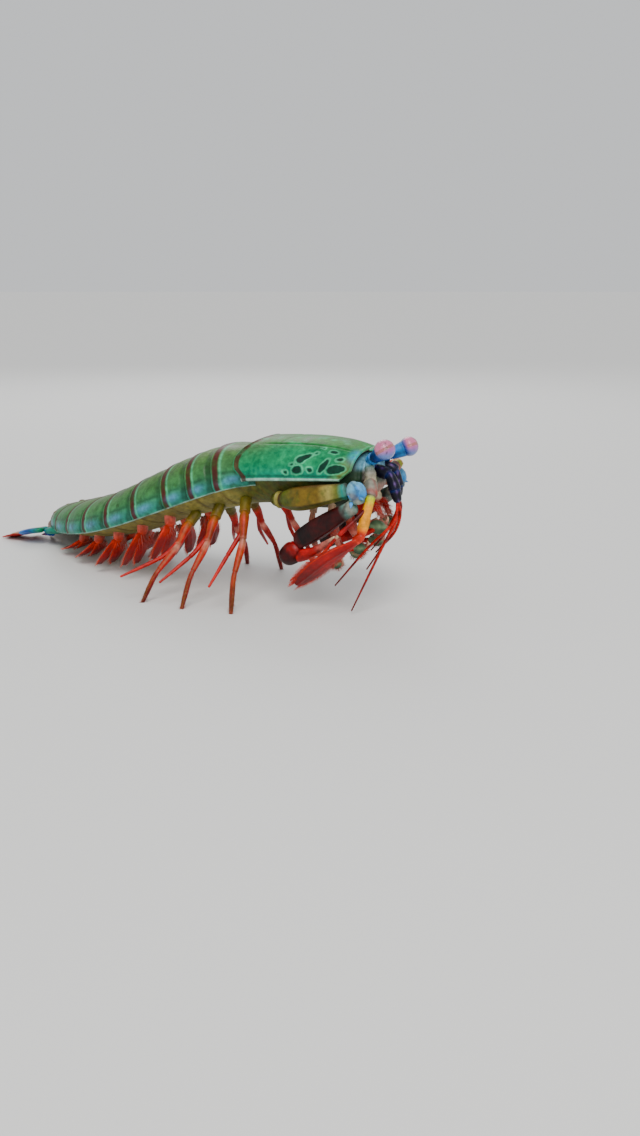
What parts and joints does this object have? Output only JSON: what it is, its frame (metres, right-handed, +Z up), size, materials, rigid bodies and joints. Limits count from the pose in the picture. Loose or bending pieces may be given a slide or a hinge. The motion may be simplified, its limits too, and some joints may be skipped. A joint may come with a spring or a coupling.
{
  "type": "mantis shrimp",
  "caption": "Standing mantis shrimp with raised head, stalked eyes, folded striking arms, drooping red antennal scale, banded body and toothed tail fan.",
  "frame": {"origin": "on the floor, under the middle of the model's box", "axes": "+X the way the head faces, +Y the animal's left at the head, +Z up"},
  "size_m": [0.1494, 0.0826, 0.0446],
  "materials": {
    "shield": "smooth painted shell, teal-green with dark leopard spots",
    "body_shell": "smooth painted shell plates, green with dark red rear bands",
    "underside": "painted skin of the head and underside",
    "eye": "glossy painted eye, pink to blue with a pale middle band",
    "eye_stalk": "painted stalk, blue",
    "feeler": "painted feeler, navy with pink-red threads",
    "antenna": "painted antenna base, yellow, with a red thread",
    "scale": "painted oval scale, red with an orange fringe",
    "mouthpart": "painted mouthparts, cream to red",
    "arm": "painted limb, olive",
    "arm_joint": "painted limb joint, pale blue",
    "arm_hand": "painted limb, maroon",
    "club": "painted club, crimson",
    "leg": "painted leg, orange-red",
    "swimmeret": "painted paddle, red with a fringe",
    "tail_fan": "painted tail fan, red and blue with a fringe"
  },
  "bodies": {
    "root": {"abdomen_1": "body_shell", "abdomen_2": "body_shell", "abdomen_3": "body_shell", "abdomen_4": "body_shell", "abdomen_5": "body_shell", "abdomen_6": "body_shell", "antenna_left": "antenna", "antenna_right": "antenna", "antennal_scale_left": "scale", "antennal_scale_right": "scale", "antennule_left": "feeler", "antennule_right": "feeler", "carapace": "shield", "eye_left": "eye", "eye_right": "eye", "eye_stalk_left": "eye_stalk", "eye_stalk_right": "eye_stalk", "head": "underside", "maxilliped_3_left": "mouthpart", "maxilliped_3_right": "mouthpart", "maxilliped_4_left": "mouthpart", "maxilliped_4_right": "mouthpart", "maxilliped_5_left": "mouthpart", "maxilliped_5_right": "mouthpart", "mouthparts": "mouthpart", "rostrum": "shield", "striking_arm_carpus_left": "arm_joint", "striking_arm_carpus_right": "arm_joint", "striking_arm_club_left": "club", "striking_arm_club_right": "club", "striking_arm_merus_left": "arm", "striking_arm_merus_right": "arm", "striking_arm_propodus_left": "arm_hand", "striking_arm_propodus_right": "arm_hand", "swimming_leg_1_left": "swimmeret", "swimming_leg_1_right": "swimmeret", "swimming_leg_2_left": "swimmeret", "swimming_leg_2_right": "swimmeret", "swimming_leg_3_left": "swimmeret", "swimming_leg_3_right": "swimmeret", "swimming_leg_4_left": "swimmeret", "swimming_leg_4_right": "swimmeret", "swimming_leg_5_left": "swimmeret", "swimming_leg_5_right": "swimmeret", "tail_fan_base_left": "body_shell", "tail_fan_base_right": "body_shell", "tail_fan_inner_left": "tail_fan", "tail_fan_inner_right": "tail_fan", "tail_fan_outer_left": "tail_fan", "tail_fan_outer_right": "tail_fan", "telson": "body_shell", "thorax_6": "body_shell", "thorax_7": "body_shell", "thorax_8": "body_shell", "walking_leg_1_left": "leg", "walking_leg_1_right": "leg", "walking_leg_2_left": "leg", "walking_leg_2_right": "leg", "walking_leg_3_left": "leg", "walking_leg_3_right": "leg"}
  },
  "joints": []
}
